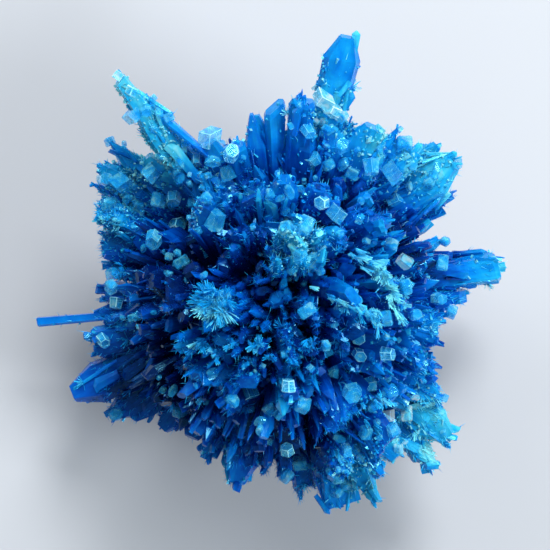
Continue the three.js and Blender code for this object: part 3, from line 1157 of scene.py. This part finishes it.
@dataclass(kw_only=True)
class Frosting(Growth):
    """Tiny crystals that roughen the blades in patches and sparkle: their gloss makes real glints, and their
    palest tones, near white, are painted glints.
    """

    surface: Surface
    name: str = "frosting"
    count: int = 11000
    scatter: float = 26.0
    width: Spread = Spread(0.05, 0.17, 1.5)
    stretch: Spread = Spread(1.2, 2.6)
    thickness: Spread = Spread(0.5, 0.9)
    sink: float = 0.35
    # The highest tones reach the near-white top of the blue's colours: painted glints.
    tones: Tones = Tones(0.7, 0.5, -0.4, 1.9)
    painted_tip_glow: float = 0.6
    spots: tuple[Spot, ...] = (
        Spot(-5.9, 3.0, 1.3, 1.2),
        Spot(-4.0, 2.2, 1.8, 0.8),
        Spot(-2.6, 4.4, 1.6, 0.8),
        Spot(-5.0, 6.7, 1.6, 0.4),
        Spot(-5.9, -0.6, 1.2, 0.8),
        Spot(0.9, 1.2, 1.3, 0.1),
        Spot(1.9, 3.4, 1.1, 0.8),
        Spot(2.4, 6.2, 1.0, 0.9),
        Spot(-2.6, -2.8, 0.9, 1.2),
        Spot(-0.6, -2.9, 0.9, 1.2),
        Spot(1.6, -2.9, 0.9, 1.0),
        Spot(4.6, 3.8, 1.5, 0.6),
        Spot(5.6, -0.6, 1.4, 0.8),
        Spot(4.6, -4.8, 1.8, 1.0),
        Spot(2.9, -7.4, 1.2, 1.0),
        Spot(-1.4, -6.2, 1.2, 0.7),
    )

    def patterns(self) -> list[Pattern]:
        """Returns the crystals to copy."""
        return [BladePattern(BladeEnd.CHISEL, sides=3).model(), BladePattern(BladeEnd.BLUNT, sides=4).model()]

    def copies(self) -> Copies:
        """Returns where the crystals go."""
        count = self.count
        clumps = Clumps(self.surface, self.spots, count=90, radius=0.5, share=0.55, thin=0.05)
        places, normals = self.surface.draw(count, clumps.weight)
        headings = scattered(unit(normals + unit(places - HEART)), self.scatter)
        across, through = turned_frames(headings)
        width = self.width.draw(count) * MM
        length = width * self.stretch.draw(count)
        size = np.stack([width, width * self.thickness.draw(count), length], axis=1)
        roots = places - headings * (length * self.sink)[:, None]
        return Copies(across, through, headings, size, roots, self.tones.draw(count))


@dataclass(frozen=True)
class Rosette:
    """A ball of fine needles: its place as seen from above, its radius, its needles and how pale it is."""

    x: float
    y: float
    radius: float
    needles: int
    tone: float


@dataclass(frozen=True)
class Spray:
    """A feather of fine needles that lie along a line, as seen from above."""

    start: tuple[float, float]
    end: tuple[float, float]
    needles: int
    length: float
    opening: float
    width: float = 0.13


@dataclass(frozen=True)
class Bundling:
    """How the needles of a rosette or feather differ, which grow in bundles that share an aim."""

    fewest: int
    scatter: float
    length: Spread
    bundle_tone: float
    needle_tone: float
    members: int = 16
    bundle_length: Spread = Spread(0.35, 1.0)

    def members_of(self, needles: int) -> tuple[int, Array]:
        """Returns how many bundles there are and the bundle of each needle."""
        bundles = max(needles // self.members, self.fewest)
        return bundles, CHANCE.integers(0, bundles, needles)

    def finish(self, aims: Array, member: Array) -> tuple[Array, Array, Array]:
        """Draws the needles.

        Args:
            aims: the direction of each bundle.
            member: the bundle of each needle.

        Returns:
            The needles' headings, their lengths as shares and how much their tones differ.
        """
        headings = scattered(aims[member], self.scatter)
        length = self.bundle_length.draw(len(aims))[member] * self.length.draw(len(member))
        tone = CHANCE.normal(0, self.bundle_tone, len(aims))[member]
        return headings, length, tone + CHANCE.normal(0, self.needle_tone, len(member))


@dataclass(kw_only=True)
class FineNeedles(Growth):
    """Rosettes, feathers and loose tufts of needles."""

    surface: Surface
    name: str = "fine_needles"
    rosettes: tuple[Rosette, ...] = (
        Rosette(-2.18, -1.14, 1.45, 1500, 0.55),
        Rosette(-2.74, -2.8, 0.8, 240, 0.2),
        Rosette(-2.2, -3.3, 0.5, 140, 0.1),
        Rosette(-1.6, -2.7, 0.6, 180, 0.1),
        Rosette(-0.34, -2.78, 0.8, 300, 0.4),
        Rosette(0.1, -3.3, 0.6, 160, 0.2),
        Rosette(1.66, -2.78, 0.7, 220, 0.2),
        Rosette(-6.3, 2.3, 0.7, 260, 0.5),
        Rosette(-6.1, 0.1, 0.6, 200, 0.4),
        Rosette(-0.9, -3.6, 0.6, 200, 0.2),
    )
    sprays: tuple[Spray, ...] = (
        Spray((3.1, 0.9), (4.4, 0.3), 420, 0.9, 16),
        Spray((4.3, 0.5), (5.1, -0.8), 560, 0.75, 42),
        Spray((4.9, -0.5), (5.4, -1.7), 300, 0.9, 20),
        Spray((3.7, -1.2), (4.4, -2.0), 460, 0.7, 32),
        Spray((1.4, -0.3), (3.3, -1.3), 110, 0.8, 3, 0.03),
        Spray((3.2, -4.4), (4.4, -6.2), 300, 0.8, 14),
        Spray((3.6, -4.0), (4.9, -5.4), 240, 0.7, 14),
        Spray((2.6, -6.6), (3.4, -8.0), 240, 0.6, 26),
    )
    tufts: int = 120
    tuft_needles: int = 20
    tuft_scatter: float = 24.0
    tuft_length: Spread = Spread(0.25, 0.7)
    tuft_tone: tuple[float, float] = (0.5, 0.3)
    width: Spread = Spread(0.022, 0.045)
    thickness: float = 0.7
    shoulder: float = 0.7
    painted_tip_glow: float = 0.5
    rosette_bundling: Bundling = Bundling(5, 11.0, Spread(0.7, 1.0), 0.4, 0.25)
    rosette_perch: float = 0.6
    rosette_core: float = 0.16
    rosette_sink: float = 0.2
    rosette_painted_side_light: float = 0.5
    spray_bundling: Bundling = Bundling(4, 7.0, Spread(0.6, 1.0), 0.5, 0.3)
    spray_perch: float = 0.25
    spray_foot: Spread = Spread(-0.15, 0.15)
    spray_scatter: float = 0.03
    spray_rise: tuple[float, float] = (20.0, 14.0)
    spray_tone: float = 0.7

    def rosette_rows(self, rosette: Rosette) -> NeedleRows:
        """Draws the needles of a rosette, with painted light: needles that point towards -y are paler and
        those that point towards +y darker.

        Args:
            rosette: the rosette.

        Returns:
            The feet, headings, lengths and tones of its needles.
        """
        bundles, member = self.rosette_bundling.members_of(rosette.needles)
        seat = self.surface.perch(rosette.x, rosette.y, self.rosette_perch * rosette.radius)
        outward = unit((seat - HEART)[None, :])[0]
        aims = unit(CHANCE.normal(size=(bundles, 3)) + outward)
        starts = CHANCE.normal(0, self.rosette_core, (bundles, 3)) * rosette.radius * MM
        feet = seat - outward * (self.rosette_sink * MM) + starts[member]
        headings, length, tone = self.rosette_bundling.finish(aims, member)
        # Painted light and shade by each needle's heading.
        tone = rosette.tone + tone - headings[:, 1] * self.rosette_painted_side_light
        return feet, headings, length * rosette.radius * MM, tone

    def spray_rows(self, spray: Spray) -> NeedleRows:
        """Draws the needles of a feather.

        Args:
            spray: the feather.

        Returns:
            The feet, headings, lengths and tones of its needles.
        """
        bundles, member = self.spray_bundling.members_of(spray.needles)
        start, end = np.array(spray.start), np.array(spray.end)
        along = CHANCE.random(bundles)
        flat = start + (end - start) * along[:, None] + CHANCE.normal(0, spray.width, (bundles, 2))
        feet = np.array([self.surface.perch(x, y, self.spray_perch) for x, y in flat])
        feet[:, 2] += self.spray_foot.draw(bundles) * MM
        feet = feet[member] + CHANCE.normal(0, self.spray_scatter, (spray.needles, 3)) * MM
        line = math.atan2(*(end - start)[::-1])
        bearing = line + CHANCE.normal(0, math.radians(spray.opening), bundles)
        rise = CHANCE.normal(*np.radians(self.spray_rise), bundles)
        level = np.stack([np.cos(bearing), np.sin(bearing)], axis=1) * np.cos(rise)[:, None]
        aims = np.column_stack([level, np.sin(rise)])
        headings, length, tone = self.spray_bundling.finish(aims, member)
        return feet, headings, length * spray.length * MM, self.spray_tone + tone

    def tuft_rows(self, foot: Array, normal: Array) -> NeedleRows:
        """Draws the needles of a loose tuft.

        Args:
            foot: where it stands.
            normal: the normal there.

        Returns:
            The feet, headings, lengths and tones of its needles.
        """
        count = self.tuft_needles
        middle = unit((normal + unit((foot - HEART)[None, :])[0])[None, :])
        headings = scattered(np.tile(middle, (count, 1)), self.tuft_scatter)
        length = self.tuft_length.draw(count) * MM
        return np.tile(foot, (count, 1)), headings, length, CHANCE.normal(*self.tuft_tone, count)

    def patterns(self) -> list[Pattern]:
        """Returns the needles to copy."""
        ends = (BladeEnd.SPEAR, BladeEnd.CHISEL)
        return [BladePattern(end, sides=3, shoulder=self.shoulder).model() for end in ends]

    def copies(self) -> Copies:
        """Returns where the needles go."""
        rows = [self.rosette_rows(rosette) for rosette in self.rosettes]
        rows += [self.spray_rows(spray) for spray in self.sprays]
        feet, normals = self.surface.draw(self.tufts, off_the_cut)
        rows += [self.tuft_rows(foot, normal) for foot, normal in zip(feet, normals)]
        place, heading, length, tone = (np.concatenate(column) for column in zip(*rows))
        across, through = turned_frames(heading)
        width = self.width.draw(len(place)) * MM
        size = np.stack([width, width * self.thickness, length], axis=1)
        return Copies(across, through, heading, size, place, tone)


@dataclass(kw_only=True)
class Velvet(Growth):
    """A nap of tiny needles over the blades, thick in places, that softens and roughens them."""

    surfaces: tuple[Surface, ...]
    name: str = "velvet"
    count: int = 11000
    scatter: float = 22.0
    uprightness: float = 0.7
    width: Spread = Spread(0.022, 0.05)
    length: Spread = Spread(0.1, 0.36)
    thickness: float = 0.8
    sink: float = 0.01
    tones: Tones = Tones(0.0, 0.5, -0.8, 1.2)
    painted_tip_glow: float = 0.4
    spots: tuple[Spot, ...] = (
        Spot(1.2, -2.6, 1.5, 0.7),
        Spot(-2.4, -2.9, 1.4, 1.2),
        Spot(-0.6, 0.8, 1.2, 0.8),
        Spot(-4.9, -1.2, 0.6, 0.8),
        Spot(-6.0, 2.6, 1.4, 1.2),
        Spot(3.2, -2.4, 1.4, 0.8),
    )

    def patterns(self) -> list[Pattern]:
        """Returns the needle to copy."""
        return [NeedlePattern().model()]

    def copies(self) -> Copies:
        """Returns where the needles go."""
        clumps = Clumps(self.surfaces[0], self.spots, count=110, radius=0.8, share=1.0, thin=0.15, reach=5.2)
        draws = [surface.draw(self.count, clumps.weight) for surface in self.surfaces]
        places, normals = (np.concatenate(column) for column in zip(*draws))
        count = len(places)
        headings = scattered(unit(normals * self.uprightness + unit(places - HEART)), self.scatter)
        across, through = turned_frames(headings)
        width = self.width.draw(count) * MM
        length = self.length.draw(count) * MM
        size = np.stack([width, width * self.thickness, length], axis=1)
        roots = places - headings * (self.sink * MM)
        return Copies(across, through, headings, size, roots, self.tones.draw(count))


@dataclass
class LargeBlades:
    """The large blades and the heart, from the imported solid."""

    dress: Dress
    flatness: float = 0.5

    def build(self) -> None:
        """Makes the large blades as one piece."""
        piece = copy_of(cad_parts[CLUSTER], "large_blades")
        join_flat_faces(piece, self.flatness)
        give(piece, "large_blades", self.dress)
        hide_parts(CLUSTER)


def copy_of(source: bpy.types.Object, name: str) -> bpy.types.Object:
    """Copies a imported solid.

    Args:
        source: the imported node.
        name: the copy's name.

    Returns:
        The copy, with its doubled points merged.
    """
    mesh = source.data.copy()
    mesh.transform(source.matrix_world)
    piece = bpy.data.objects.new(name, mesh)
    bpy.context.collection.objects.link(piece)
    edit_all(piece, lambda: bpy.ops.mesh.remove_doubles(threshold=DOUBLED))
    return piece


@dataclass
class LargeClearCrystals:
    """The larger clear crystals, each with its edges bevelled and given a pale material that paints
    highlights along them.
    """

    dress: Dress
    bevel: float = 0.1
    flatness: float = 1.0
    edge_angle: float = 25.0

    def build(self) -> None:
        """Makes one piece for each packed clear crystal."""
        for name in sorted(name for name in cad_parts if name.startswith(CLEAR_PREFIX)):
            piece = copy_of(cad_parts[name], name.replace("crystal", "gem"))
            give(piece, piece.name, self.dress)
            self.blunt(piece)
            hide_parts(name)

    def blunt(self, piece: bpy.types.Object) -> None:
        """Bevels the edges of a crystal and gives the bevels the second material, which paints highlights on
        them.
        """
        join_flat_faces(piece, self.flatness)
        modifier = piece.modifiers.new("edges", "BEVEL")
        modifier.width = self.bevel * MM
        modifier.segments = 1
        modifier.limit_method = "ANGLE"
        modifier.angle_limit = math.radians(self.edge_angle)
        modifier.material = 1
        bpy.ops.object.modifier_apply(modifier=modifier.name)


@dataclass(kw_only=True)
class SmallClearCrystals(Growth):
    """Clear crystals too small and too many to be nodes of their own."""

    surfaces: tuple[Surface, ...]
    name: str = "small_gems"
    patches: tuple[Spot, ...] = (
        Spot(-5.0, 6.8, 1.4, 20),
        Spot(-5.2, 3.4, 1.8, 26),
        Spot(-2.6, 4.6, 1.6, 26),
        Spot(-3.4, 2.2, 2.0, 30),
        Spot(2.0, 5.8, 1.1, 24),
        Spot(2.2, 7.1, 0.8, 12),
        Spot(8.8, 0.3, 0.7, 7),
        Spot(2.2, 3.6, 1.8, 18),
        Spot(5.2, 4.6, 1.8, 20),
        Spot(5.6, 0.4, 1.2, 8),
        Spot(4.0, -3.6, 1.8, 16),
        Spot(5.2, -5.4, 1.6, 30),
        Spot(3.0, -7.6, 1.4, 12),
        Spot(0.6, -5.6, 2.4, 12),
        Spot(-3.4, -5.0, 2.0, 8),
        Spot(-6.4, -1.2, 1.4, 8),
        Spot(0.9, 1.0, 1.4, 20),
    )
    spare: int = 45
    size: Spread = Spread(0.25, 0.72, 1.6)
    scatter: float = 30.0
    lift: float = 0.16
    crowding: float = 0.6
    reach: float = 5.8

    def patterns(self) -> list[Pattern]:
        """Returns the crystals to copy."""
        return [ClearPattern(form, self.dress.materials).model() for form in ClearForm]

    def copies(self) -> Copies:
        """Returns where the crystals go: those of the patches, then loose ones."""
        seats = [self.top_of(x, y) for patch in self.patches for x, y in self.spots_in(patch)]
        loose = [surface.draw(self.spare, self.outside) for surface in self.surfaces]
        places, normals = (
            np.concatenate([np.array(seated), *drawn]) for seated, drawn in zip(zip(*seats), zip(*loose))
        )
        count = len(places)
        headings = scattered(normals, self.scatter)
        across, through = turned_frames(headings)
        width = self.size.draw(count) * MM
        middles = places + normals * (width * self.lift)[:, None]
        return Copies(across, through, headings, np.stack([width] * 3, axis=1), middles, np.zeros(count))

    def spots_in(self, patch: Spot) -> Array:
        """Draws the spots of a patch, thicker towards its middle.

        Args:
            patch: the patch, with its number of crystals as its amount.

        Returns:
            The spots, in millimetres as seen from above.
        """
        count = int(patch.amount)
        turn = CHANCE.uniform(0, 2 * math.pi, count)
        reach = patch.radius * CHANCE.random(count) ** self.crowding
        return np.array([patch.x, patch.y]) + np.stack([np.cos(turn), np.sin(turn)], axis=1) * reach[:, None]

    def top_of(self, x: float, y: float) -> tuple[Array, Array]:
        """Returns the highest seat at a spot on any of the surfaces, with its normal."""
        return max((surface.seat(x, y) for surface in self.surfaces), key=lambda seat: seat[0][2])

    def outside(self, middle: Array, normal: Array) -> Array:
        """Returns how likely a loose crystal is on each face."""
        return off_the_cut(middle, normal) * (from_heart(middle) > self.reach * MM)


@dataclass(frozen=True)
class Light:
    """A soft square light that faces the specimen, with its place and side in metres."""

    name: str
    place: tuple[float, float, float]
    watts: float
    colour: Colour
    side: float = 0.08
    aim: tuple[float, float, float] = (0.0, 0.0, 0.006)

    def add(self) -> None:
        """Adds the light."""
        data = bpy.data.lights.new(self.name, "AREA")
        data.shape = "SQUARE"
        data.size = self.side
        data.energy = self.watts
        data.color = self.colour
        light = bpy.data.objects.new(self.name, data)
        light.location = self.place
        light.rotation_euler = (Vector(self.place) - Vector(self.aim)).to_track_quat("Z", "Y").to_euler()
        bpy.context.collection.objects.link(light)


@dataclass
class Studio:
    """The floor, the soft lights and the camera that looks straight down, with sizes in metres."""

    lights: tuple[Light, ...] = (
        Light("key", (0.05, 0.15, 0.15), 0.55, (0.96, 0.98, 1.0)),
        Light("side", (-0.12, 0.17, 0.12), 0.26, (0.94, 0.98, 1.0)),
        Light("fill", (0.17, -0.06, 0.12), 0.4, (0.92, 0.97, 1.0)),
    )
    room_colour: Colour = (0.74, 0.86, 1.0)
    room_strength: float = 0.31
    floor_size: float = 0.6
    eye_distance: float = 0.15
    field_of_view: float = 0.022
    sensor: float = 36.0
    clip: tuple[float, float] = (0.01, 2.0)

    def build(self) -> None:
        """Sets up the floor, the lights, the room and the camera."""
        self.make_floor()
        for light in self.lights:
            light.add()
        world = bpy.data.worlds.new("soft_room")
        world.use_nodes = True
        background = world.node_tree.nodes["Background"].inputs
        background["Color"].default_value = (*self.room_colour, 1.0)
        background["Strength"].default_value = self.room_strength
        bpy.context.scene.world = world
        self.make_camera()
        bpy.context.scene.view_settings.view_transform = "Standard"

    def make_floor(self) -> None:
        """Makes the plain pale floor, which isn't part of the object."""
        clear_selection()
        bpy.ops.mesh.primitive_plane_add(size=self.floor_size)
        floor = bpy.context.object
        floor.name = "floor"
        floor.data.materials.append(PaleSurface().build())

    def make_camera(self) -> None:
        """Adds the camera, straight above the specimen."""
        data = bpy.data.cameras.new("camera")
        data.sensor_width = self.sensor
        data.lens = self.sensor * self.eye_distance / self.field_of_view
        data.clip_start, data.clip_end = self.clip
        camera = bpy.data.objects.new("camera", data)
        camera.location = tuple(EYE)
        bpy.context.collection.objects.link(camera)
        bpy.context.scene.camera = camera


def main() -> None:
    """Builds every piece in order."""
    logging.basicConfig(level=logging.INFO, format="%(name)s: %(message)s")
    surface = Surface(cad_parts[CLUSTER])
    shields = Shields()
    leanings = Leanings(surface)
    blue = Dress((BlueCrystal("blue_crystal").build(),))
    # The frosting's material: glossy, with painted glints in its palest tones.
    sparkle = Dress((BlueCrystal("sparkling_crystal", lift=0.08, roughness=0.12).build(),))
    needle_blue = BlueCrystal("pale_needles", lift=0.1, roughness=0.3, transmission=0.15, stops=NEEDLE_STOPS)
    pale = Dress((needle_blue.build(),))
    # The bevels' pale material paints highlights along the clear crystals' edges.
    painted_edges = ClearCrystal("frosted_edge", roughness=0.3, transmission=0.2, cover=0.85, stops=PAINTED_EDGE_HIGHLIGHT_STOPS)
    clear = Dress((ClearCrystal("clear_crystal").build(), painted_edges.build()), "clear_crystal")
    LargeBlades(blue).build()
    GapBlades(dress=blue, leanings=leanings).build(shields)
    FineLaths(dress=blue, leanings=leanings, surface=surface).build(shields)
    FinePoints(dress=blue, leanings=leanings, surface=surface).build(shields)
    Frosting(dress=sparkle, surface=surface).build(shields)
    FineNeedles(dress=pale, surface=surface).build(shields)
    grown = ("large_blades", "gap_blades", "fine_laths", "fine_points")
    outsides = tuple(Surface(bpy.data.objects[name]) for name in grown)
    Velvet(dress=pale, surfaces=outsides).build(shields)
    LargeClearCrystals(clear).build()
    SmallClearCrystals(dress=clear, surfaces=outsides).build(shields)
    Studio().build()


if __name__ == "__main__":
    main()
